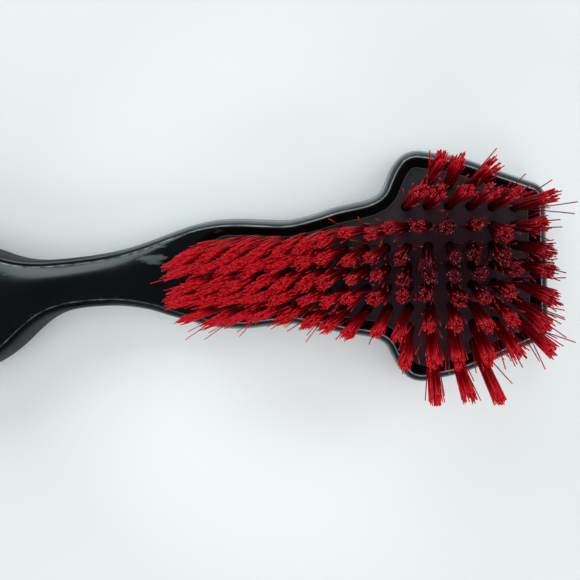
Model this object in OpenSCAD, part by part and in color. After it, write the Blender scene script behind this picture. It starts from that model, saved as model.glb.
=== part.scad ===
/* [Head] */
// thickness of the head from its back to the top of its rim
head_thick = 12; // [9:0.5:18]
// height of the tufted face above the back of the head
face_z = 9.5; // [7:0.5:14]
// thickness of the tray floor behind the tuft block
floor_thick = 2.5; // [1.5:0.5:4]
// width of the soft edge seen from above
edge_w = 2.2; // [1.5:0.1:4]
// width of the sloping lip between the soft edge and the tuft block
lip_w = 2.3; // [1:0.1:4]
// radius of the two front corners of the head
corner_r = 4.8; // [4.6:0.1:8]

/* [Handle] */
// height of the middle of the neck above the table
neck_z = 10.5; // [8:0.5:16]
// height of the middle of the grip above the table
grip_z = 12; // [10:0.5:16]
// half height of the soft edge on the neck
neck_edge = 4.9; // [2:0.1:6]
// half height of the soft edge on the grip
grip_edge = 6.5; // [4:0.1:9]
// how far the neck's hard face swells above its soft edge
neck_crown = 2.1; // [1:0.1:5]
// how far the grip's hard face swells above its soft edge
grip_crown = 5.5; // [3:0.1:6]
// radius of the hole for hanging the brush up
hang_r = 4; // [2:0.5:5]
// distance of the hanging hole from the butt
hang_in = 13; // [11:0.5:20]

/* [Tufts] */
// radius of a tuft hole
hole_r = 1.3; // [1:0.05:1.8]
// depth of a tuft hole
hole_deep = 5.5; // [4:0.5:6]
// distance between columns of tufts along the head
col_pitch = 5.75; // [5:0.05:8]
// distance between rows of tufts across the wide part
row_pitch = 5.6; // [4:0.1:8]
// length of the bristles that stands free
bristle_len = 24; // [12:1:40]
// radius of a tuft at its cut end in the wide part
tip_r = 2.3; // [1.4:0.1:3]
// radius of a tuft at its cut end in the narrow part
tip_r_narrow = 1.9; // [1.3:0.1:2.5]
// sideways fan of the tufts for each millimetre off the middle
fan_y = 0.28; // [0:0.01:0.4]
// lengthways fan of the tufts for each millimetre from the upright column
fan_x = 0.14; // [0:0.01:0.2]
// sideways sweep that wear has given to all the tufts
sweep_y = -1.8; // [-4:0.1:4]

/* [Anchors and screws] */
// length of the flat wire anchor that holds each tuft
anchor_len = 3.7; // [3:0.1:4.5]
// thickness of the anchor wire
anchor_thick = 0.35; // [0.2:0.05:0.6]
// height of the anchor wire
anchor_high = 1.5; // [1:0.1:2]
// radius of the screws that hold the tuft block
screw_r = 1.25; // [1:0.05:1.6]
// radius of a screw head
screw_head_r = 2.6; // [2:0.1:3.2]

/* [Hidden] */
$fn = 48;

front_x = 21.8;
butt_x = -230;
lip_out = edge_w;
lip_in = edge_w + lip_w;
seat_gap = 0.15;
rim_z = head_thick - 0.2;
face_end = -67;
first_col = 13.6;

// Stations down the head, neck and grip: distance along, upper edge, lower edge.
side_line = [[10, 25.3, -25.3], [0, 29.5, -29.5], [-7.5, 31.3, -31.3], [-12.3, 32.1, -32.1],
  [-16, 31, -31], [-18.6, 28.1, -28.1], [-20.4, 24.7, -24.7], [-22.2, 21.3, -21.3],
  [-26, 19.4, -19.4], [-34, 18, -18], [-41, 16.2, -16.2], [-48, 15, -15],
  [-55, 15.4, -15.4], [-62, 16, -16], [-69, 16, -15.6], [-76, 14.9, -14],
  [-83, 12.8, -11.8], [-90, 10.5, -9.4], [-97, 8.7, -8], [-104, 7.6, -7.7],
  [-111, 7, -8.1], [-117, 6.7, -9.2], [-122, 6.7, -11.3], [-127, 7.2, -14.8],
  [-132, 8.4, -19], [-138, 10.6, -23], [-146, 13.8, -26.5], [-156, 16.2, -27.7],
  [-168, 17.2, -26.3], [-181, 16.3, -23], [-194, 14.1, -19.8], [-206, 12, -17.3],
  [-216, 10.3, -15.5], [-223, 8.2, -13.2], [-228, 4.6, -9.4], [-230, 0.4, -5.2]];

// Front corner: an arc that leaves the straight front edge and meets the tapering side.
taper = atan((side_line[1][1] - side_line[0][1]) / (side_line[0][0] - side_line[1][0]));
corner_x = front_x - corner_r;
corner_y = side_line[0][1] - (corner_x + corner_r * sin(taper) - side_line[0][0]) * tan(taper)
         - corner_r * cos(taper);
corner = [for (i = [0 : 4]) let (a = (90 - taper) * i / 4)
  [corner_x + corner_r * cos(a), corner_y + corner_r * sin(a), -corner_y - corner_r * sin(a)]];

function smooth(a, b, c, d, t) = 0.5 * (2 * b + (c - a) * t + (2 * a - 5 * b + 4 * c - d) * t * t
  + (3 * b - a - 3 * c + d) * t * t * t);
keys = concat([corner[4]], side_line);
last = len(keys) - 1;
curve = [for (k = [0 : last - 1]) for (s = [0 : 1])
  smooth(keys[max(k - 1, 0)], keys[k], keys[k + 1], keys[min(k + 2, last)], s / 2)];
line = concat([for (i = [0 : 3]) corner[i]], curve, [keys[last]]);
n = len(line);

// Step sideways from the edge line, so that every band keeps one width.
function unit(v) = v / norm(v);
function along(i, k) = unit([line[min(i + 1, n - 1)][0] - line[max(i - 1, 0)][0],
  line[min(i + 1, n - 1)][k] - line[max(i - 1, 0)][k]]);
function inset(i, k, d) = let (t = i == 0 ? [0, k == 1 ? 1 : -1] : i == n - 1 ? [0, k == 1 ? -1 : 1]
  : along(i, k)) let (m = k == 1 ? [-t[1], t[0]] : [t[1], -t[0]]) [line[i][0], line[i][k]] + m * d;

// Heights along the handle: each is a table of distance and value.
mid_table = [[-230, grip_z], [-150, grip_z], [-128, neck_z + 0.8], [-104, neck_z],
  [-84, head_thick / 2 + 1.4], [-70, head_thick / 2 + 0.1], [21, head_thick / 2 + 0.1]];
half_table = [[-230, 3], [-222, 5.2], [-200, grip_edge - 0.5], [-160, grip_edge], [-128, neck_edge + 1],
  [-104, neck_edge], [-84, rim_z / 2 - 1], [-70, rim_z / 2 - 0.5], [21, rim_z / 2 - 0.5]];
crown_table = [[-230, 0.8], [-224, 3], [-205, grip_crown - 0.6], [-160, grip_crown],
  [-128, neck_crown + 0.6], [-104, neck_crown], [-88, 1.8], [-78, 0.4], [-70, 0], [21, 0]];
head_belly = head_thick / 2 + 0.6 - rim_z / 2;
belly_table = [[-230, 0.8], [-224, 3], [-205, grip_crown], [-176, grip_crown + 1.7], [-160, grip_crown + 1.7],
  [-128, neck_crown + 0.6], [-104, neck_crown], [-84, 1.6], [-70, head_belly], [21, head_belly]];
// Values are averaged over a short way, so that the tables leave no kinks.
function eased(x, t) = (lookup(x - 8, t) + lookup(x - 4, t) + lookup(x, t) + lookup(x + 4, t)
  + lookup(x + 8, t)) / 5;
function mid(x) = eased(x, mid_table);
function half(x) = eased(x, half_table);
function crown(x) = eased(x, crown_table);
function belly(x) = eased(x, belly_table);

// Tuft places: columns along the head, rows across it.
col_x = [for (c = [0 : 14]) first_col - c * col_pitch];
edge_table = [for (i = [n - 1 : -1 : 0]) [line[i][0], line[i][1]]];
function reach(x) = lookup(x, edge_table) - lip_in - 1.9;
function wide_y(x, j) = j * row_pitch * (x > -8 ? 1 - 0.0045 * (x + 8) : 1);
function narrow_y(x, j) = j / 2 * min(reach(x), 2 * row_pitch) * (x < -65 ? 0.9 : 1);
function rows(c) = let (x = col_x[c]) c < 6
  ? [for (j = [-4 : 4]) if (abs(wide_y(x, j)) <= reach(x) + 0.25 && !(c == 5 && abs(j) == 4))
      wide_y(x, j)]
  : [for (j = [-2 : 2]) narrow_y(x, j)];
function lean_x(x) = fan_x * (x + 12) + (x > 10 ? 1.6 : 0)
  - (x < -50 ? 0.006 * pow(x + 50, 2) : 0);
function lean_y(y) = fan_y * y + sweep_y;
screw_at = [[-6.5, 13.7], [-6.5, -12.7], [-35.3, 7.4], [-35.3, -6.9]];

module skin(pts, rings, m) {
  // rings of m points each, joined in order; each cap is a strip between facing points
  sides = [for (r = [0 : rings - 2]) for (k = [0 : m - 1]) let (a = r * m + k,
    b = r * m + (k + 1) % m) each [[a, b, b + m], [a, b + m, a + m]]];
  back = (rings - 1) * m;
  pairs = [for (k = [0 : floor((m - 3) / 2)]) [k, k + 1, m - 2 - k, m - 1 - k]];
  caps = [for (p = pairs) each [[p[0], p[3], p[1]], [back + p[0], back + p[1], back + p[3]],
    each p[1] < p[2] ? [[p[1], p[3], p[2]], [back + p[1], back + p[2], back + p[3]]] : []]];
  polyhedron(pts, concat(sides, caps));
}

module loop_skin(pts, rings, m) {
  // the same, but the last ring joins the first
  polyhedron(pts, [for (r = [0 : rings - 1]) for (k = [0 : m - 1]) let (q = (r + 1) % rings,
    a = r * m + k, b = r * m + (k + 1) % m, c = q * m + (k + 1) % m, d = q * m + k)
    each [[a, b, c], [a, c, d]]]);
}

// One cross ring of the hard core: up one side, over the crown, down the other, under the belly.
// Nothing reaches below the table, which leaves a flat foot under the grip.
arc = [18, 38, 60];
function core_ring(i) = let (p = inset(i, 1, edge_w), q = inset(i, 2, edge_w), x = line[i][0],
  c = (p + q) / 2, h = half(x), z = mid(x), t = rim_z - z - h, up = max(crown(x), t),
  dn = belly(x), tall = x > -76)
  concat(
    [[p[0], p[1], z - h], [p[0], p[1], z + h]],
    [for (a = arc) let (f = tall ? 1 - a / 90 * 0.7 : cos(a), g = tall ? 1 : pow(sin(a), 2))
      [c[0] + (p[0] - c[0]) * f, c[1] + (p[1] - c[1]) * f, z + h + up * g]],
    [[c[0], c[1], z + h + up]],
    [for (k = [2 : -1 : 0]) let (a = arc[k], f = tall ? 1 - a / 90 * 0.7 : cos(a),
      g = tall ? 1 : pow(sin(a), 2))
      [c[0] + (q[0] - c[0]) * f, c[1] + (q[1] - c[1]) * f, z + h + up * g]],
    [[q[0], q[1], z + h], [q[0], q[1], z - h]],
    [for (a = arc) let (f = tall ? 1 - a / 90 * 0.7 : cos(a), g = tall ? 1 : sin(a))
      [c[0] + (q[0] - c[0]) * f, c[1] + (q[1] - c[1]) * f, max(0, z - h - dn * g)]],
    [[c[0], c[1], max(0, z - h - dn)]],
    [for (k = [2 : -1 : 0]) let (a = arc[k], f = tall ? 1 - a / 90 * 0.7 : cos(a),
      g = tall ? 1 : sin(a))
      [c[0] + (p[0] - c[0]) * f, c[1] + (p[1] - c[1]) * f, max(0, z - h - dn * g)]]);

// Outline of the face at a distance in from the edge, closed by a round end at the neck.
face_n = len([for (i = [0 : n - 1]) if (line[i][0] > face_end) 1]);
function face_ring(d, tail) = let (e = inset(face_n - 1, 1, d))
  concat([for (i = [0 : face_n - 1]) inset(i, 1, d)],
    [for (a = [15 : 15 : 165]) [e[0] - tail * sin(a), e[1] * cos(a)]],
    [for (i = [face_n - 1 : -1 : 0]) inset(i, 2, d)]);

// The hollow in the head: the block's seat, the sloping lip, and the run-out into the neck.
module face_cut() {
  top = face_ring(lip_out + 0.4, 18);
  low = face_ring(lip_in, 7.5);
  hang = [for (i = [0 : len(top) - 1]) top[i] + (top[i] - low[i]) * 1.2];
  skin(concat([for (p = hang) [p[0], p[1], rim_z + 9]], [for (p = top) [p[0], p[1], rim_z + 0.05]],
    [for (p = low) [p[0], p[1], face_z - 0.1]], [for (p = low) [p[0], p[1], floor_thick]]),
    4, len(top));
}

module screw_places() {
  for (s = screw_at) translate([s[0], s[1], 0]) children();
}

module handle_core() {
  color([0.03, 0.03, 0.035])
  difference() {
    skin([for (i = [0 : n - 1]) each core_ring(i)], n, 18);
    face_cut();
    translate([butt_x + hang_in, -2.6, -1]) cylinder(h = 40, r = hang_r);
    screw_places() {
      translate([0, 0, -1]) cylinder(h = 6, r = screw_r + 0.15);
      translate([0, 0, -0.01]) cylinder(h = 1.6, r1 = screw_head_r + 0.1, r2 = screw_r + 0.15);
    }
  }
}

edge_shape = [[1, -1], [0.55, -0.97], [0.2, -0.84], [0, -0.6], [0, 0.6], [0.2, 0.84],
  [0.55, 0.97], [1, 1]];
function edge_ring(i, k) = [for (e = edge_shape) let (p = inset(i, k, edge_w * e[0]),
  x = line[i][0]) [p[0], p[1], mid(x) + half(x) * e[1]]];

module soft_edge() {
  color([0.2, 0.23, 0.25])
  loop_skin(concat([for (i = [0 : n - 1]) each edge_ring(i, 1)],
    [for (i = [n - 1 : -1 : 0]) each edge_ring(i, 2)]), 2 * n, len(edge_shape));
}

// Each tuft stands in a hole drilled at the angle it fans out by.
module at_tuft(x, y) {
  lx = lean_x(x);
  ly = lean_y(y);
  turn = atan2(ly, lx);
  translate([x, y, face_z]) rotate([0, asin(norm([lx, ly]) / bristle_len), turn])
    rotate(-turn) children();
}

module anchor_bar() {
  translate([-anchor_len / 2, -anchor_thick / 2, 0.45 - hole_deep])
    cube([anchor_len, anchor_thick, anchor_high]);
}

module tuft_block() {
  color([0.1, 0.12, 0.12])
  difference() {
    translate([0, 0, floor_thick]) linear_extrude(face_z - floor_thick)
      polygon(face_ring(lip_in + seat_gap, 7.5 - seat_gap));
    for (c = [0 : 14]) for (y = rows(c)) at_tuft(col_x[c], y) {
      translate([0, 0, -hole_deep]) cylinder(h = hole_deep + 2, r = hole_r);
      anchor_bar();
    }
    screw_places() translate([0, 0, floor_thick - 0.01]) cylinder(h = 5.01, r = screw_r);
  }
}

module tuft_anchors() {
  color([0.75, 0.76, 0.78])
  for (c = [0 : 14]) for (y = rows(c)) at_tuft(col_x[c], y) anchor_bar();
}

module block_screws() {
  color([0.6, 0.61, 0.63])
  screw_places() difference() {
    union() {
      translate([0, 0, 0.2]) cylinder(h = 1.3, r1 = screw_head_r - 0.2, r2 = screw_r);
      translate([0, 0, 0.2]) cylinder(h = floor_thick + 4.7, r = screw_r);
    }
    translate([-1.4, -0.25, 0]) cube([2.8, 0.5, 0.8]);
    translate([-0.25, -1.4, 0]) cube([0.5, 2.8, 0.8]);
  }
}

module tuft(x, y, r) {
  at_tuft(x, y) difference() {
    rotate_extrude() polygon([[0, -hole_deep], [hole_r, -hole_deep], [hole_r, 0.6],
      [r, bristle_len], [0, bristle_len]]);
    anchor_bar();
  }
}

module tuft_column(c) {
  color([0.78, 0.1, 0.16])
  for (y = rows(c)) tuft(col_x[c], y, c < 6 ? tip_r : tip_r_narrow);
}

module tufts_01() { tuft_column(0); }
module tufts_02() { tuft_column(1); }
module tufts_03() { tuft_column(2); }
module tufts_04() { tuft_column(3); }
module tufts_05() { tuft_column(4); }
module tufts_06() { tuft_column(5); }
module tufts_07() { tuft_column(6); }
module tufts_08() { tuft_column(7); }
module tufts_09() { tuft_column(8); }
module tufts_10() { tuft_column(9); }
module tufts_11() { tuft_column(10); }
module tufts_12() { tuft_column(11); }
module tufts_13() { tuft_column(12); }
module tufts_14() { tuft_column(13); }
module tufts_15() { tuft_column(14); }

handle_core();
soft_edge();
tuft_block();
tuft_anchors();
block_screws();
tufts_01();
tufts_02();
tufts_03();
tufts_04();
tufts_05();
tufts_06();
tufts_07();
tufts_08();
tufts_09();
tufts_10();
tufts_11();
tufts_12();
tufts_13();
tufts_14();
tufts_15();
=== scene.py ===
import bpy
import math
import numpy as np
from mathutils import Matrix, Vector


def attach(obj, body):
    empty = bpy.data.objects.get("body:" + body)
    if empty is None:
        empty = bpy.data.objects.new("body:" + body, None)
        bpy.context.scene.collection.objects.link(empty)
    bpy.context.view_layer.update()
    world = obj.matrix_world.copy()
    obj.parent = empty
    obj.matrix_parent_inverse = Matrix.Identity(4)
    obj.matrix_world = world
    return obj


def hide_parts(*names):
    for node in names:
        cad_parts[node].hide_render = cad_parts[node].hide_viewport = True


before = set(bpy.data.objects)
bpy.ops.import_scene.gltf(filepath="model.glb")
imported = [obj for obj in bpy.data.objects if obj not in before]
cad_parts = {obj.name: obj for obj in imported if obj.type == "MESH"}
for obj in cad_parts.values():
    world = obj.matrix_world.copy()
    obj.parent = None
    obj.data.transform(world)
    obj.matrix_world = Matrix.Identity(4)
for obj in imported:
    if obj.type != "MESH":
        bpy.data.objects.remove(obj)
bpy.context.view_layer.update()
bpy.ops.object.select_all(action="DESELECT")
mm = 0.001
print("frame loaded,", len(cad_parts), "nodes")


# A shader socket that takes part in Python sums; each sum adds a Math node.
class Wire:
    def __init__(self, recipe, socket):
        self.recipe = recipe
        self.socket = socket

    def sum(self, operation, first, second=None):
        values = {0: first} if second is None else {0: first, 1: second}
        return self.recipe.add("Math", {"operation": operation}, values)

    def __add__(self, other): return self.sum("ADD", self, other)
    def __radd__(self, other): return self.sum("ADD", other, self)
    def __sub__(self, other): return self.sum("SUBTRACT", self, other)
    def __rsub__(self, other): return self.sum("SUBTRACT", other, self)
    def __mul__(self, other): return self.sum("MULTIPLY", self, other)
    def __rmul__(self, other): return self.sum("MULTIPLY", other, self)
    def clamp(self): return self.recipe.add("Clamp", {}, {0: self})


class Recipe:
    def __init__(self, name):
        self.material = bpy.data.materials.new(name)
        self.material.use_nodes = True
        self.tree = self.material.node_tree
        self.tree.nodes.clear()
        self.output = self.tree.nodes.new("ShaderNodeOutputMaterial")

    def add(self, kind, settings=None, values=None, out=0):
        node = self.tree.nodes.new("ShaderNode" + kind)
        for key, value in (settings or {}).items():
            if key == "stops":
                ramp = node.color_ramp.elements
                while len(ramp) < len(value):
                    ramp.new(0.5)
                for element, (place, colour) in zip(ramp, value):
                    element.position = place
                    element.color = (*colour, 1) if len(colour) == 3 else colour
            else:
                setattr(node, key, value)
        for key, value in (values or {}).items():
            if isinstance(value, Wire):
                self.tree.links.new(value.socket, node.inputs[key])
            else:
                node.inputs[key].default_value = value
        return Wire(self, node.outputs[out])

    def noise(self, scale, detail=3, stretch=(1, 1, 1), roughness=0.5):
        place = self.add("TexCoord", out="Object")
        placed = self.add("Mapping", {}, {"Vector": place, "Scale": stretch})
        return self.add("TexNoise", {}, {"Vector": placed, "Scale": scale, "Detail": detail,
                                         "Roughness": roughness})

    def far(self, centre):
        place = self.add("TexCoord", out="Object")
        moved = self.add("VectorMath", {"operation": "SUBTRACT"}, {0: place, 1: centre})
        return self.add("VectorMath", {"operation": "LENGTH"}, {0: moved}, out="Value")

    def ramp(self, value, stops):
        return self.add("ValToRGB", {"stops": stops}, {0: value})

    def mix(self, factor, first, second):
        return self.add("Mix", {"data_type": "RGBA"}, {0: factor, 6: first, 7: second}, out=2)

    def reading(self, name):
        return self.add("Attribute", {"attribute_name": name}, out="Fac")

    def bump(self, height, strength, distance):
        return self.add("Bump", {}, {"Height": height, "Strength": strength, "Distance": distance})

    def finish(self, values):
        shader = self.add("BsdfPrincipled", {}, values)
        self.tree.links.new(shader.socket, self.output.inputs[0])
        return self.material


def rgb(red, green, blue):
    return (red, green, blue, 1)


def hardPlastic():
    look = {"base": (0.0016, 0.0019, 0.0026), "haze": (0.0042, 0.0052, 0.0056),
            "mark": (0.11, 0.125, 0.12), "tint": (0.84, 0.98, 1.0),
            "rough": 0.19, "smearRough": 0.11, "fineRough": 0.04, "nickRough": 0.2}
    r = Recipe("hard black plastic")
    haze = r.noise(55, 4)
    smear = r.noise(90, 3, (0.25, 1, 1))
    fine = r.noise(1500, 2, (0.15, 1, 1))
    scratch = r.ramp(r.noise(260, 4, (0.22, 1.1, 1)),
                     [(0.655, (0, 0, 0)), (0.70, (1, 1, 1))])
    patch = r.ramp(r.noise(28, 2), [(0.52, (0, 0, 0)), (0.66, (1, 1, 1))])
    nick = (scratch * patch).clamp()
    colour = r.mix(haze, rgb(*look["base"]), rgb(*look["haze"]))
    colour = r.mix(0.6 * nick, colour, rgb(*look["mark"]))
    rough = (look["rough"] + look["smearRough"] * smear + look["fineRough"] * fine
             + look["nickRough"] * nick)
    dent = r.noise(330, 3, (0.5, 1, 1))
    height = 0.5 * haze + 0.02 * fine - 0.1 * nick + 0.10 * dent
    return r.finish({"Base Color": colour, "Roughness": rough, "IOR": 1.5,
                     "Specular IOR Level": 0.5, "Specular Tint": rgb(*look["tint"]),
                     "Coat Roughness": 0.1, "Coat Weight": 0.12 - 0.1 * nick,
                     "Normal": r.bump(height, 0.38, 0.0004)})


def softPlastic():
    look = {"base": (0.0016, 0.0024, 0.0032), "worn": (0.004, 0.006, 0.0075),
            "flash": (0.34, 0.375, 0.375), "slate": (0.008, 0.013, 0.0155),
            "rim": (0.36, 0.41, 0.43), "tint": (0.84, 0.96, 1.0),
            "rough": 0.20, "headRough": 0.08, "flankRough": 0.45, "rubRough": 0.05,
            "cloudRough": 0.06, "headFlashGlint": 0.6}
    r = Recipe("soft satin band")
    cloud = r.noise(70, 4)
    grain = r.noise(4200, 2)
    rub = r.ramp(r.noise(160, 3, (0.3, 1, 1)), [(0.42, (0, 0, 0)), (0.68, (1, 1, 1))])
    ragged = r.ramp(r.noise(420, 4), [(0.36, (0.16, 0.16, 0.16)), (0.66, (1, 1, 1))])
    head = r.reading("head")
    colour = r.mix(0.5 * cloud + 0.3 * rub, rgb(*look["base"]), rgb(*look["worn"]))
    colour = r.mix(head * (0.45 + 0.55 * rub), colour, rgb(*look["slate"]))
    # Painted highlight: a pale line along the top of the outer flank near the head.
    colour = r.mix(r.reading("rim") * (0.55 + 0.45 * rub), colour, rgb(*look["rim"]))
    # Painted highlight: the ragged flash line is painted pale, unbroken on the head and broken along
    # the handle.
    unbrokenGlint = look["headFlashGlint"] * head
    glintShown = r.reading("flash") * (ragged * (1 - look["headFlashGlint"] * head) + unbrokenGlint)
    colour = r.mix(glintShown.clamp(), colour, rgb(*look["flash"]))
    rough = (look["rough"] + look["headRough"] * head + look["flankRough"] * r.reading("flank")
             - look["rubRough"] * rub + look["cloudRough"] * cloud)
    return r.finish({"Base Color": colour, "Roughness": rough, "IOR": 1.5,
                     "Specular IOR Level": 0.5, "Specular Tint": rgb(*look["tint"]),
                     "Normal": r.bump(grain + 0.5 * cloud, 0.12, 0.0002)})


def blockPlastic():
    look = {"base": (0.007, 0.012, 0.011), "dusty": (0.028, 0.040, 0.037),
            "worn": (0.13, 0.16, 0.15), "reddish": (0.050, 0.014, 0.024),
            "reddishAt": (-0.005, 0.001, 0.0095)}
    r = Recipe("satin tuft block")
    cloud = r.noise(110, 4)
    grain = r.noise(2600, 2)
    dust = r.ramp(r.noise(700, 4), [(0.5, (0, 0, 0)), (0.72, (1, 1, 1))])
    colour = r.mix(0.5 * cloud + 0.3 * dust, rgb(*look["base"]), rgb(*look["dusty"]))
    # Reddish towards the middle of the face.
    reddening = r.ramp(10 * r.far(look["reddishAt"]),
                     [(0.10, (0.9, 0.9, 0.9)), (0.30, (0, 0, 0))])
    colour = r.mix(reddening, colour, rgb(*look["reddish"]))
    # Painted highlight: a paler line round the rounded top edge of the block.
    colour = r.mix(r.reading("worn") * (0.5 + 0.5 * cloud), colour, rgb(*look["worn"]))
    return r.finish({"Base Color": colour, "Roughness": 0.38 + 0.2 * cloud, "IOR": 1.5,
                     "Normal": r.bump(grain + cloud, 0.15, 0.0003)})


def bristleNylon():
    look = {"rootShade": (0.17, 0.0018, 0.007), "body": (0.50, 0.0045, 0.014),
            "tipLight": (0.66, 0.010, 0.021), "other": (0.36, 0.002, 0.010),
            "cut": (0.66, 0.16, 0.18), "grime": (0.05, 0.006, 0.011)}
    r = Recipe("red nylon bristle")
    along = r.reading("along")
    strand = r.reading("strand")
    # Painted shade and light along each filament: dark towards the root where the tufts shade it,
    # lighter towards the tip.
    colour = r.mix(r.ramp(along, [(0.02, (0, 0, 0)), (0.42, (1, 1, 1))]),
                   rgb(*look["rootShade"]), rgb(*look["body"]))
    colour = r.mix(r.ramp(along, [(0.55, (0, 0, 0)), (1.0, (1, 1, 1))]), colour, rgb(*look["tipLight"]))
    colour = r.mix(0.55 * strand, colour, rgb(*look["other"]))
    paler = r.ramp(strand, [(0.88, (0, 0, 0)), (0.95, (0.46, 0.46, 0.46))])
    # Painted shade: filaments over the middle of the head are darkened, standing in for the shadow
    # that falls there.
    colour = r.mix(0.93 * r.reading("grime"), colour, rgb(*look["grime"]))
    colour = r.mix((r.reading("cut") * paler).clamp(), colour, rgb(*look["cut"]))
    return r.finish({"Base Color": colour, "Roughness": 0.46 + 0.15 * strand, "IOR": 1.53,
                     "Specular IOR Level": 0.18})


def steel(name, base, rough):
    r = Recipe(name)
    lines = r.noise(900, 3, (0.1, 1, 1))
    spot = r.noise(300, 3)
    colour = r.mix(spot, rgb(*base), rgb(*[0.75 * part for part in base]))
    return r.finish({"Base Color": colour, "Metallic": 1.0, "Roughness": rough + 0.15 * lines,
                     "Normal": r.bump(lines, 0.1, 0.0001)})


def paleTable():
    # Painted shade: a little darker away from the brush.
    look = {"one": (0.83, 0.87, 0.885), "other": (0.865, 0.895, 0.905),
            "outer": (0.735, 0.765, 0.77), "middle": (-0.045, -0.01, 0)}
    r = Recipe("pale table")
    cloud = r.noise(3.0, 3)
    colour = r.mix(cloud, rgb(*look["one"]), rgb(*look["other"]))
    away = r.ramp(5 * r.far(look["middle"]), [(0.22, (0, 0, 0)), (0.50, (1, 1, 1))])
    colour = r.mix(away, colour, rgb(*look["outer"]))
    return r.finish({"Base Color": colour, "Roughness": 0.6, "Specular IOR Level": 0.3})


finishes = {"hard": hardPlastic(), "soft": softPlastic(), "block": blockPlastic(),
            "bristle": bristleNylon(),
            "wire": steel("anchor wire", (0.62, 0.62, 0.64), 0.3),
            "screw": steel("zinc screw", (0.56, 0.57, 0.58), 0.26), "table": paleTable()}
print("materials made")


def dress(thing, finish):
    thing.data.materials.clear()
    thing.data.materials.append(finishes[finish])


for nodeName, finish in {"tuft_anchors": "wire", "block_screws": "screw"}.items():
    dress(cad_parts[nodeName], finish)

# Shape of the brush, as in the part: distance along, upper edge, lower edge.
outline = {
    "frontX": 21.8, "cornerR": 4.8, "edgeW": 2.2, "lipW": 2.3, "faceZ": 9.5, "rimZ": 11.8,
    "floorZ": 2.5, "faceEnd": -67, "steps": 6,
    "line": [(10, 25.3, -25.3), (0, 29.5, -29.5), (-7.5, 31.3, -31.3), (-12.3, 32.1, -32.1),
             (-16, 31, -31), (-18.6, 28.1, -28.1), (-20.4, 24.7, -24.7), (-22.2, 21.3, -21.3),
             (-26, 19.4, -19.4), (-34, 18, -18), (-41, 16.2, -16.2), (-48, 15, -15),
             (-55, 15.4, -15.4), (-62, 16, -16), (-69, 16, -15.6), (-76, 14.9, -14),
             (-83, 12.8, -11.8), (-90, 10.5, -9.4), (-97, 8.7, -8), (-104, 7.6, -7.7),
             (-111, 7, -8.1), (-117, 6.7, -9.2), (-122, 6.7, -11.3), (-127, 7.2, -14.8),
             (-132, 8.4, -19), (-138, 10.6, -23), (-146, 13.8, -26.5), (-156, 16.2, -27.7),
             (-168, 17.2, -26.3), (-181, 16.3, -23), (-194, 14.1, -19.8), (-206, 12, -17.3),
             (-216, 10.3, -15.5), (-223, 8.2, -13.2), (-228, 4.6, -9.4), (-230, 0.4, -5.2)],
    "middle": [(-230, 12), (-150, 12), (-128, 11.3), (-104, 10.5), (-84, 7.4), (-70, 6.1),
               (21, 6.1)],
    "half": [(-230, 3), (-222, 5.2), (-200, 6), (-160, 6.5), (-128, 5.9), (-104, 4.9), (-84, 4.9),
             (-70, 5.4), (21, 5.4)],
    "crown": [(-230, 0.8), (-224, 3), (-205, 4.9), (-160, 5.5), (-128, 2.7), (-104, 2.1),
              (-88, 1.8), (-78, 0.4), (-70, 0), (21, 0)],
    "belly": [(-230, 0.8), (-224, 3), (-205, 5.5), (-176, 7.2), (-160, 7.2), (-128, 2.7),
              (-104, 2.1), (-84, 1.6), (-70, 0.7), (21, 0.7)],
}


def eased(name, x):
    # A height from its table, averaged over a short way so that no kink shows.
    places, values = zip(*outline[name])
    shifts = np.linspace(-8, 8, 17)
    return float(np.mean([np.interp(x + shift, places, values) for shift in shifts]))


def edgeCurves():
    # Both edges, front corner arc first, then a smooth curve through the stations.
    o = outline
    line = np.array(o["line"], dtype=float)
    taper = math.atan2(line[1, 1] - line[0, 1], line[0, 0] - line[1, 0])
    cornerX = o["frontX"] - o["cornerR"]
    reach = (cornerX + o["cornerR"] * math.sin(taper) - line[0, 0]) * math.tan(taper)
    cornerY = line[0, 1] - reach - o["cornerR"] * math.cos(taper)
    turns = np.linspace(0, math.pi / 2 - taper, 14)
    arc = np.stack([cornerX + o["cornerR"] * np.cos(turns),
                    cornerY + o["cornerR"] * np.sin(turns)], 1)
    arc = np.hstack([arc, -arc[:, 1:2]])
    keys = np.vstack([arc[-1:], line])
    padded = np.vstack([keys[:1], keys, keys[-1:]])
    curve = []
    for k in range(len(keys) - 1):
        a, b, c, d = padded[k:k + 4]
        for t in np.linspace(0, 1, o["steps"], endpoint=False):
            curve.append(0.5 * (2 * b + (c - a) * t + (2 * a - 5 * b + 4 * c - d) * t ** 2
                                + (3 * b - a - 3 * c + d) * t ** 3))
    return np.vstack([arc[:-1], curve, keys[-1:]])


edge = edgeCurves()
stations = len(edge)


def inset(side, distance):
    # Points at one distance in from an edge: side 1 is the upper edge, side 2 the lower.
    points = edge[:, [0, side]]
    run = np.gradient(points, axis=0)
    run[0] = (0, 1 if side == 1 else -1)
    run[-1] = (0, -1 if side == 1 else 1)
    run /= np.linalg.norm(run, axis=1)[:, None]
    turn = 1 if side == 1 else -1
    across = np.stack([-turn * run[:, 1], turn * run[:, 0]], 1)
    return points + across * distance


def makeMesh(name, points, faces):
    mesh = bpy.data.meshes.new(name)
    mesh.from_pydata((np.asarray(points) * mm).tolist(), [], faces)
    mesh.update()
    thing = bpy.data.objects.new(name, mesh)
    bpy.context.scene.collection.objects.link(thing)
    bpy.ops.object.select_all(action="DESELECT")
    thing.select_set(True)
    bpy.context.view_layer.objects.active = thing
    bpy.ops.object.mode_set(mode="EDIT")
    bpy.ops.mesh.select_all(action="SELECT")
    bpy.ops.mesh.remove_doubles(threshold=0.00001)
    bpy.ops.mesh.normals_make_consistent(inside=False)
    bpy.ops.object.mode_set(mode="OBJECT")
    return thing


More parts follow.
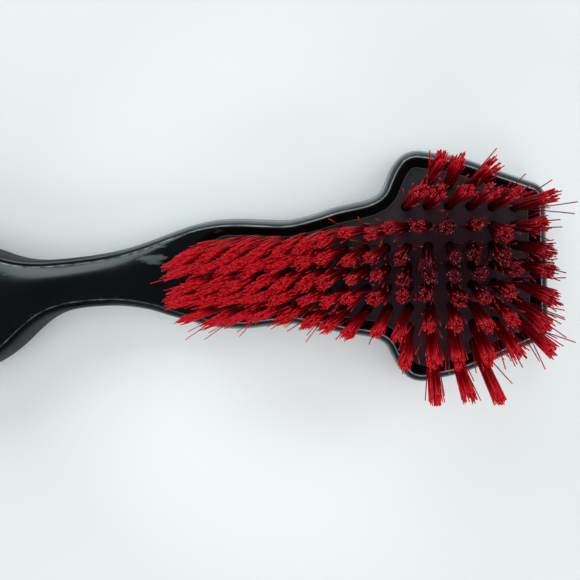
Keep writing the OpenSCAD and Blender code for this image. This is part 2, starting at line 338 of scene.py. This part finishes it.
def ringFaces(rings, around, closed=False):
    faces = []
    for ring in range(rings if closed else rings - 1):
        after = (ring + 1) % rings
        for k in range(around):
            near = (k + 1) % around
            faces.append([ring * around + k, ring * around + near, after * around + near,
                          after * around + k])
    if not closed:
        faces.append(list(range(around))[::-1])
        faces.append([(rings - 1) * around + k for k in range(around)])
    return faces


def carve(body, cutter):
    modifier = body.modifiers.new("cut", "BOOLEAN")
    modifier.operation = "DIFFERENCE"
    modifier.solver = "EXACT"
    modifier.object = cutter
    bpy.ops.object.select_all(action="DESELECT")
    body.select_set(True)
    bpy.context.view_layer.objects.active = body
    bpy.ops.object.modifier_apply(modifier=modifier.name)
    bpy.data.objects.remove(cutter)


def settle(piece, node, finish, angle):
    # The last steps of every new piece.
    bpy.ops.object.select_all(action="DESELECT")
    piece.select_set(True)
    bpy.context.view_layer.objects.active = piece
    bpy.ops.object.transform_apply(location=True, rotation=True, scale=True)
    bpy.ops.object.shade_smooth_by_angle(angle=math.radians(angle))
    dress(piece, finish)
    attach(piece, "root")
    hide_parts(node)
    bpy.ops.object.select_all(action="DESELECT")


def smoothStep(value):
    value = min(max(value, 0), 1)
    return value * value * (3 - 2 * value)


def faceRing(distance, tail):
    # Outline of the tufted face, closed by a round end at the neck.
    count = int(np.sum(edge[:, 0] > outline["faceEnd"]))
    upper, lower = inset(1, distance)[:count], inset(2, distance)[:count]
    turns = np.radians(np.arange(6, 175, 6))
    end = upper[-1]
    bend = np.stack([end[0] - tail * np.sin(turns), end[1] * np.cos(turns)], 1)
    return np.vstack([upper, bend, lower[::-1]])


core = {"across": 28, "lip": (2.6, 4.5), "tail": (11, 7.5), "hangAt": (-217, -2.6), "hangR": 4.0,
        "screwR": 1.4, "headR": 2.7,
        "screws": [(-6.5, 13.7), (-6.5, -12.7), (-35.3, 7.4), (-35.3, -6.9)]}


def handleCore():
    # Cross rings from the front to the butt, crowned on the neck and grip and flat on the head.
    o, c = outline, core
    upper, lower = inset(1, o["edgeW"]), inset(2, o["edgeW"])
    turns = np.radians(np.linspace(0, 180, c["across"] + 1))
    points = []
    for k in range(stations):
        x = edge[k, 0]
        middle, half = eased("middle", x), eased("half", x)
        square = 2 + 8 * smoothStep((x + 92) / 24)
        rise = max(eased("crown", x), o["rimZ"] - middle - half)
        fall = eased("belly", x)
        centre = (upper[k] + lower[k]) / 2
        u = np.cos(turns)
        lift = np.maximum(1 - np.abs(u) ** square, 0) ** (1 / (1.05 + (square - 2) * 1.1))
        sag = np.maximum(1 - np.abs(u) ** square, 0) ** (1 / square)
        flat = centre + np.where(u[:, None] > 0, (upper[k] - centre) * u[:, None],
                                 (centre - lower[k]) * u[:, None])
        top = np.column_stack([flat, middle + half + rise * lift])
        under = np.column_stack([flat, np.maximum(middle - half - fall * sag, 0)])[::-1]
        points.append(np.vstack([top, under]))
    around = len(points[0])
    body = makeMesh("handleCore", np.vstack(points), ringFaces(stations, around))
    # The tray's cutter: it widens above the rim, follows the sloping lip, then drops to the floor.
    outer, inner = faceRing(c["lip"][0], c["tail"][0]), faceRing(c["lip"][1], c["tail"][1])
    rings = [np.column_stack([outer + (outer - inner) * 1.2, np.full(len(outer), o["rimZ"] + 9)])]
    for t in np.linspace(0, 1, 10):
        ring = faceRing(c["lip"][0] + (c["lip"][1] - c["lip"][0]) * t,
                        c["tail"][0] + (c["tail"][1] - c["tail"][0]) * t)
        drop = (o["rimZ"] + 0.05 - o["faceZ"] + 0.1) * (0.35 * t + 0.65 * smoothStep(t))
        rings.append(np.column_stack([ring, np.full(len(ring), o["rimZ"] + 0.05 - drop)]))
    rings.append(np.column_stack([rings[-1][:, :2], np.full(len(rings[-1]), o["floorZ"])]))
    cutter = makeMesh("hollow", np.vstack(rings), ringFaces(len(rings), len(rings[0])))
    carve(body, cutter)
    hangX, hangY = c["hangAt"]
    bpy.ops.mesh.primitive_cylinder_add(vertices=64, radius=c["hangR"] * mm, depth=60 * mm,
                                        location=(hangX * mm, hangY * mm, 12 * mm))
    carve(body, bpy.context.object)
    for x, y in c["screws"]:
        bpy.ops.mesh.primitive_cylinder_add(vertices=40, radius=c["screwR"] * mm, depth=6 * mm,
                                            location=(x * mm, y * mm, 2 * mm))
        carve(body, bpy.context.object)
        bpy.ops.mesh.primitive_cone_add(vertices=40, radius1=c["headR"] * mm,
                                        radius2=c["screwR"] * mm, depth=1.6 * mm,
                                        location=(x * mm, y * mm, 0.79 * mm))
        carve(body, bpy.context.object)
    settle(body, "handle_core", "hard", 30)
    print("handle core:", len(body.data.polygons), "faces")


handleCore()

band = {
    "headSquare": 3.0, "gripSquare": 3.6, "profile": 26, "seed": 5,
    "headFrom": -92, "headOver": 22, "mattTop": 0.975, "mattOver": 0.08,
    # Where the painted highlight line sits on the profile, where it starts along the brush, and how
    # much the lower side gets.
    "highlightAt": 0.82, "highlightWide": 0.11, "highlightFrom": -112, "highlightOver": 30, "lowerHighlight": 0.35,
    # The flash lip's shape, and how much painted highlight each of its points gets.
    "flashHigh": 0.16, "flashAcross": (0.35, 0.16, -0.08, -0.2), "flashGlintMarks": (0.0, 1.0, 1.0, 0.3),
    "flashFoot": -0.12, "grooveDrop": 0.3, "lowerFlashGlint": 0.3, "lowerFlashGlintEnd": -70,
}


def softEdge():
    # A rounded band round the whole brush, with a thin ragged line of flash at its inner edge. The
    # flash line is painted pale as a highlight, and a painted highlight line runs along the outer
    # flank near the head.
    o, b = outline, band
    rng = np.random.default_rng(b["seed"])
    turns = np.linspace(-math.pi / 2, math.pi / 2, b["profile"])
    steps = rng.uniform(0, 1, 2 * stations + 6)
    wander = np.convolve(steps, np.ones(3) / 3, "same")[:2 * stations]
    flashIn = o["edgeW"] - np.array(b["flashAcross"])
    points, flash, head, flank, rim = [], [], [], [], []
    order = [(k, 1) for k in range(stations)] + [(k, 2) for k in reversed(range(stations))]
    outer, inner, ridges = {}, {}, {}
    for side in (1, 2):
        outer[side], inner[side] = inset(side, 0), inset(side, o["edgeW"])
        ridges[side] = [inset(side, distance) for distance in flashIn]
    for place, (k, side) in enumerate(order):
        x = edge[k, 0]
        onHead = smoothStep((x - b["headFrom"]) / b["headOver"])
        nearHead = smoothStep((x - b["highlightFrom"]) / b["highlightOver"])
        square = b["gripSquare"] + (b["headSquare"] - b["gripSquare"]) * onHead
        inward = 1 - np.abs(np.cos(turns)) ** (2 / square)
        upward = np.sign(np.sin(turns)) * np.abs(np.sin(turns)) ** (2 / square)
        middle, half = eased("middle", x), eased("half", x)
        high = b["flashHigh"] * (0.25 + 1.1 * wander[place])
        for fraction, lift in zip(inward, upward):
            spot = outer[side][k] + (inner[side][k] - outer[side][k]) * fraction
            points.append((*spot, middle + half * lift))
            flash.append(0.0)
            flank.append(smoothStep((b["mattTop"] - lift) / b["mattOver"]) * (1 - onHead))
            # Painted highlight line near the top of the outer flank, weaker on the lower side as if
            # the light came from the upper side.
            highlightLine = math.exp(-((lift - b["highlightAt"]) / b["highlightWide"]) ** 2)
            rim.append(highlightLine * nearHead * (1 if side == 1 else b["lowerHighlight"]))
        ridge = points.pop()
        flash.pop()
        # How much painted highlight each flash point gets; less on the lower side along the handle.
        glintShown = 0.35 + 0.65 * min(wander[place] * 1.6, 1)
        glintShown *= b["lowerFlashGlint"] if side == 2 and x < b["lowerFlashGlintEnd"] else 1
        lifts = (0.0, high, high, b["flashFoot"])
        for line, lift, mark in zip(ridges[side], lifts, b["flashGlintMarks"]):
            points.append((*line[k], middle + half + lift))
            flash.append(mark * glintShown)
        points.append((ridge[0], ridge[1], ridge[2] - b["grooveDrop"]))
        flash.append(0.0)
        head += [onHead] * (len(points) - len(head))
        flank += [0.0] * (len(points) - len(flank))
        rim += [0.0] * (len(points) - len(rim))
    around = len(points) // len(order)
    mesh = bpy.data.meshes.new("softEdge")
    faces = ringFaces(len(order), around, closed=True)
    mesh.from_pydata((np.array(points) * mm).tolist(), [], faces)
    for name, values in (("flash", flash), ("head", head), ("flank", flank), ("rim", rim)):
        layer = mesh.attributes.new(name, "FLOAT", "POINT")
        layer.data.foreach_set("value", np.array(values, dtype=np.float32))
    piece = bpy.data.objects.new("softEdge", mesh)
    bpy.context.scene.collection.objects.link(piece)
    bpy.context.view_layer.objects.active = piece
    piece.select_set(True)
    bpy.ops.object.mode_set(mode="EDIT")
    bpy.ops.mesh.select_all(action="SELECT")
    bpy.ops.mesh.normals_make_consistent(inside=False)
    bpy.ops.object.mode_set(mode="OBJECT")
    settle(piece, "soft_edge", "soft", 50)
    print("soft edge:", len(mesh.polygons), "faces")


softEdge()


def reachAt(x):
    table = sorted((px, py) for px, py, _ in outline["line"])
    return float(np.interp(x, [p[0] for p in table], [p[1] for p in table]))


# Bristles: worn tufts splay from the wide part and lie over towards the handle at the narrow end.
bristles = {
    "firstColumn": 13.6, "columnPitch": 5.75, "rowPitch": 5.6, "length": 24.0, "holeR": 1.15,
    "perTuft": 80, "thick": 0.15, "thinner": 0.22, "tipWide": 1.95, "tipNarrow": 1.85, "clumps": 6,
    "fanX": 0.14, "frontLean": 1.6, "wornBack": 0.0045, "stray": 0.055, "seed": 11,
    "restless": 0.75, "spreads": (0.82, 1.1), "lowY": -34.0, "highY": 33.0, "frontX": 25.0,
    # Centre and spread of the painted shade over the middle of the head.
    "centreShadeAt": (-3, 3), "centreShadeWide": (420, 170),
    "pull": [(-22.4, 0), (-16.8, -1), (-11.2, -2.5), (-5.6, -2), (0, -1.5), (5.6, -3), (11.2, -3.8),
             (16.8, 0.4), (22.4, 0.6)],
    "wideLean": [(-22.4, -9.6), (-16.8, -7.0), (-11.2, -4.4), (-5.6, -1.6), (0, -1.5), (5.6, -2.9),
                 (11.2, -0.7), (16.8, 2.6), (22.4, 4.3)],
    "narrowLean": [(-11.2, -2.2), (-5.6, -1.2), (0, -3.0), (5.6, -2.3), (11.2, -4.9)],
}


def rowsOf(column):
    x = bristles["firstColumn"] - column * bristles["columnPitch"]
    reach = reachAt(x) - outline["edgeW"] - outline["lipW"] - 1.9
    pitch = bristles["rowPitch"]
    if column < 6:
        narrowing = 1 - 0.0045 * (x + 8) if x > -8 else 1
        rows = [j * pitch * narrowing for j in range(-4, 5)]
        return x, [y for j, y in zip(range(-4, 5), rows)
                   if abs(y) <= reach + 0.25 and not (column == 5 and abs(j) == 4)]
    return x, [j / 2 * min(reach, 2 * pitch) * (0.9 if x < -65 else 1) for j in range(-2, 3)]


def lyingAt(x):
    # How far a tuft is worn flat towards the handle.
    return smoothStep((-26 - x) / 20)


def fanAt(x, back):
    # Lean along the brush: outwards at the front, and ever more towards the handle at the back.
    front = bristles["frontLean"] if x > 10 else 0
    return bristles["fanX"] * (x + 12) + front - (back * (x + 50) ** 2 if x < -50 else 0)


def leanOf(x, y):
    b = bristles
    leanX = fanAt(x, b["wornBack"])
    leanX *= 0.72 if x < -36 and y < -7 else 1
    leanX *= 0.80 if x < -60 else 0.93 if x < -50 else 1
    leanX += np.interp(y, *zip(*b["pull"])) * smoothStep((x + 40) / 16)
    leanX += 2.6 * smoothStep((y - 13) / 3) * smoothStep((-4 - x) / 8)
    wide, narrow = [np.interp(y, *zip(*b[key])) for key in ("wideLean", "narrowLean")]
    return leanX, narrow + (wide - narrow) * smoothStep((x + 46) / 34)


def oneFilament():
    # A five-sided rod one unit long, cut into lengths, with a flat end.
    bpy.ops.mesh.primitive_cylinder_add(vertices=5, radius=1, depth=1, location=(0, 0, 0.5))
    rod = bpy.context.object
    bpy.ops.object.mode_set(mode="EDIT")
    for height in (0.25, 0.5, 0.75):
        bpy.ops.mesh.select_all(action="SELECT")
        bpy.ops.mesh.bisect(plane_co=(0, 0, height), plane_no=(0, 0, 1))
    bpy.ops.object.mode_set(mode="OBJECT")
    points = np.array([v.co for v in rod.data.vertices])
    points += np.array(rod.location)
    faces = [list(p.vertices) for p in rod.data.polygons]
    bpy.data.objects.remove(rod)
    return points, faces


block = {"gap": 0.15, "tail": 7.35, "edge": 0.4, "holeR": 1.3, "holeDeep": 5.5,
         "back": 0.006, "fanY": 0.28, "leanY": -1.8, "edgeSheenBand": (0.5, 0.05)}


def tuftBlock():
    # A slab with a rounded top edge, drilled at each tuft's own angle.
    o, b = outline, block
    rings = []
    soft = b["edge"] * 0.3
    for shrink, drop in ((0, o["faceZ"] - o["floorZ"]), (0, b["edge"]), (soft, soft), (b["edge"], 0)):
        ring = faceRing(o["edgeW"] + o["lipW"] + b["gap"] + shrink, b["tail"] - shrink)
        rings.append(np.column_stack([ring, np.full(len(ring), o["faceZ"] - drop)]))
    slab = makeMesh("tuftBlock", np.vstack(rings), ringFaces(len(rings), len(rings[0])))
    bpy.ops.mesh.primitive_cylinder_add(vertices=20, radius=b["holeR"], depth=b["holeDeep"] + 2,
                                        location=(0, 0, 0))
    drill = bpy.context.object
    shape = np.array([v.co for v in drill.data.vertices]) + (0, 0, 1 - b["holeDeep"] / 2)
    sides = [list(p.vertices) for p in drill.data.polygons]
    bpy.data.objects.remove(drill)
    points, faces = [], []
    for column in range(15):
        x, rows = rowsOf(column)
        for y in rows:
            lean = Vector((fanAt(x, b["back"]), b["fanY"] * y + b["leanY"], 0))
            lean.z = math.sqrt(bristles["length"] ** 2 - lean.length_squared)
            turn = np.array(Vector((0, 0, 1)).rotation_difference(lean).to_matrix())
            faces += [[len(points) * len(shape) + k for k in side] for side in sides]
            points.append(shape @ turn.T + (x, y, o["faceZ"]))
    carve(slab, makeMesh("drills", np.vstack(points), faces))
    # The rounded top edge gets the painted highlight line.
    low, high = [o["faceZ"] - depth for depth in b["edgeSheenBand"]]
    worn = [float(low < v.co.z / mm < high) for v in slab.data.vertices]
    layer = slab.data.attributes.new("worn", "FLOAT", "POINT")
    layer.data.foreach_set("value", worn)
    settle(slab, "tuft_block", "block", 30)
    print("tuft block:", len(slab.data.polygons), "faces")


tuftBlock()
filament, filamentFaces = oneFilament()
cutFace = [int(all(filament[k][2] > 0.99 for k in f)) for f in filamentFaces]
print("filament:", len(filament), "points,", len(filamentFaces), "faces")


def growTuft(rng, x, y, spread):
    # Filaments leave the hole at the tuft's angle, part into clumps and bow outwards.
    b = bristles
    leanX, leanY = leanOf(x, y)
    lying = lyingAt(x)
    middle = np.array([leanX, leanY]) + rng.normal(0, b["restless"], 2) * (1 - lying)
    spread *= rng.uniform(*b["spreads"])
    way = middle / max(np.linalg.norm(middle), 0.1)
    clumps = rng.normal(0, 1, (b["clumps"], 2))
    clumps *= spread * 0.62 / np.maximum(np.linalg.norm(clumps, axis=1), 0.5)[:, None]
    rods = []
    count = int(b["perTuft"] * (1 + 0.9 * lying))
    for k in range(count):
        angle = k * 2.39996 + rng.uniform(-0.3, 0.3)
        ring = math.sqrt((k + 0.5) / count)
        start = np.array([math.cos(angle), math.sin(angle)]) * ring * b["holeR"]
        home = clumps[np.argmin(np.linalg.norm(clumps - start * 1.4, axis=1))]
        gather = 0.28 + 0.24 * (1 - lying) * (abs(y) > 14)
        goal = start * spread / b["holeR"] * (1 - gather) + home * gather * 1.25
        goal = goal + rng.normal(0, 0.2, 2)
        goal[1] *= 1 - 0.30 * lying
        goal = goal + way * rng.normal(0, 0.06 + 0.30 * lying) * np.linalg.norm(middle)
        if rng.random() < b["stray"] * (2 if x > 5 and abs(y) < 18 else 1):
            goal = goal + rng.normal(0, 2.1, 2)
        elif rng.random() < 0.14 * (1 - lying):
            goal = goal + rng.normal(0, 0.8, 2)
        goal = goal + middle
        goal[1] = min(max(goal[1], b["lowY"] - y), b["highY"] - y)
        goal[0] = min(goal[0], b["frontX"] - x)
        bow = rng.normal(0, 0.34 - 0.12 * lying, 2) - middle * (0.75 * lying - 0.05)
        length = b["length"] * (0.995 - abs(rng.normal(0, 0.014 + 0.05 * lying)))
        rods.append((start, goal, bow, length, rng.random(), rng.uniform(0, 6.28)))
    return rods


def buildColumn(column):
    b = bristles
    rng = np.random.default_rng(b["seed"] + column)
    x, rows = rowsOf(column)
    widest = b["tipWide"] if column < 6 else b["tipNarrow"]
    points, faces, along, strand, cut, grime = [], [], [], [], [], []
    shadeX, shadeY = b["centreShadeAt"]
    s = filament[:, 2:3]
    for y in rows:
        spread = widest * (0.84 if abs(y) < 14 and -30 < x < 5 else 0.92)
        for start, goal, bow, length, tone, turn in growTuft(rng, x, y, spread):
            flat = start + (goal - start) * s + bow * (s * (1 - s) * 1.2)
            drop = math.sqrt(max(length ** 2 - float(np.sum((goal - start) ** 2)), 25))
            rise = s * drop
            side = filament[:, 0:2] @ np.array([[math.cos(turn), math.sin(turn)],
                                                [-math.sin(turn), math.cos(turn)]])
            thick = b["thick"] * (1 - b["thinner"] * lyingAt(x))
            rod = np.hstack([flat + side * thick, rise]) + np.array([x, y, outline["faceZ"] - 0.8])
            tilt = (goal - start) / drop
            rod[:, 2] -= (side @ tilt) * thick      # keep the rod's section square to its run
            base = len(points) * len(filament)
            points.append(rod)
            faces += [[base + k for k in f] for f in filamentFaces]
            along.append(s[:, 0])
            strand.append(np.full(len(filament), tone))
            # Painted shade over the middle of the head, a little less towards the tips.
            shadeAmount = math.exp(-((x + start[0] - shadeX) ** 2 / b["centreShadeWide"][0]
                              + (y + start[1] - shadeY) ** 2 / b["centreShadeWide"][1]))
            grime.append(np.clip(shadeAmount * (1.35 - 0.45 * s[:, 0] * tone), 0, 1))
            cut += cutFace
    points = np.vstack(points) * mm
    mesh = bpy.data.meshes.new(f"bristles_{column + 1:02d}")
    mesh.from_pydata(points.tolist(), [], faces)
    for name, kind, values in (("along", "POINT", np.concatenate(along)),
                               ("strand", "POINT", np.concatenate(strand)),
                               ("grime", "POINT", np.concatenate(grime)), ("cut", "FACE", cut)):
        layer = mesh.attributes.new(name, "FLOAT", kind)
        layer.data.foreach_set("value", np.asarray(values, dtype=np.float32))
    mesh.polygons.foreach_set("use_smooth", [not c for c in cut])
    mesh.update()
    piece = bpy.data.objects.new(mesh.name, mesh)
    bpy.context.scene.collection.objects.link(piece)
    dress(piece, "bristle")
    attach(piece, "root")
    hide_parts(f"tufts_{column + 1:02d}")
    return len(faces)


faceCount = sum(buildColumn(column) for column in range(15))
print("bristles grown,", faceCount, "faces")

# Table, camera and lights.
studio = {
    "table": 3.0, "camera": (-20.4, 5.1, 190.0), "focal": 640 / 580 * 36,
    "right": (0.9875, -0.044, -0.1511), "up": (0.035, 0.9975, -0.0617),
    "lights": [
        ("window", (-0.40, 1.3, 0.74), (-0.12, 0, 0.2), (1.5, 0.95), 15.5, (0.90, 0.99, 1.0)),
        ("facing wall", (-0.06, -1.4, 0.7), (-0.06, 0, 0), (2.0, 0.9), 13, (1.0, 1.0, 1.0)),
        ("left wall", (-1.5, 0.1, 0.8), (-0.06, 0, 0), (1.8, 0.9), 6, (0.98, 1.0, 1.0)),
        ("right wall", (1.4, 0.1, 0.8), (-0.06, 0, 0), (1.8, 0.9), 13, (0.99, 1.0, 1.0)),
        ("ceiling", (0.2, -0.1, 1.7), (-0.02, 0, 0), (2.0, 2.0), 19, (0.98, 1.0, 1.0)),
    ],
    "mirrored": "window", "worldTint": (0.90, 0.95, 0.97, 1), "world": 0.04,
}
bpy.ops.mesh.primitive_plane_add(size=studio["table"], location=(-0.05, 0, 0))
table = bpy.context.object
table.name = "table"
bpy.ops.object.mode_set(mode="EDIT")
bpy.ops.mesh.subdivide(number_cuts=6)
bpy.ops.object.mode_set(mode="OBJECT")
bpy.ops.object.transform_apply(location=True)
dress(table, "table")

right = Vector(studio["right"]).normalized()
up = Vector(studio["up"])
up = (up - right * up.dot(right)).normalized()
back = right.cross(up)
cameraData = bpy.data.cameras.new("camera")
cameraData.lens = studio["focal"]
cameraData.sensor_width = 36
cameraData.clip_start = 0.01
camera = bpy.data.objects.new("camera", cameraData)
bpy.context.scene.collection.objects.link(camera)
place = Matrix((right, up, back)).transposed().to_4x4()
place.translation = Vector(studio["camera"]) * mm
camera.matrix_world = place
bpy.context.scene.camera = camera


def areaLight(name, place, target, size, power, tint):
    data = bpy.data.lights.new(name, "AREA")
    data.shape = "RECTANGLE"
    data.size, data.size_y = size
    data.energy = power
    data.color = tint
    lamp = bpy.data.objects.new(name, data)
    lamp.location = place
    lamp.rotation_euler = (Vector(target) - Vector(place)).to_track_quat("-Z", "Y").to_euler()
    bpy.context.scene.collection.objects.link(lamp)
    return lamp


# Only the window shows as a reflection; the others fill the shadows.
for light in studio["lights"]:
    lamp = areaLight(*light)
    lamp.visible_glossy = light[0] == studio["mirrored"]
world = bpy.data.worlds.new("dim ceiling")
bpy.context.scene.world = world
world.use_nodes = True
background = world.node_tree.nodes["Background"]
background.inputs[0].default_value = studio["worldTint"]
background.inputs[1].default_value = studio["world"]
bpy.context.scene.view_settings.view_transform = "Standard"
print("studio set")
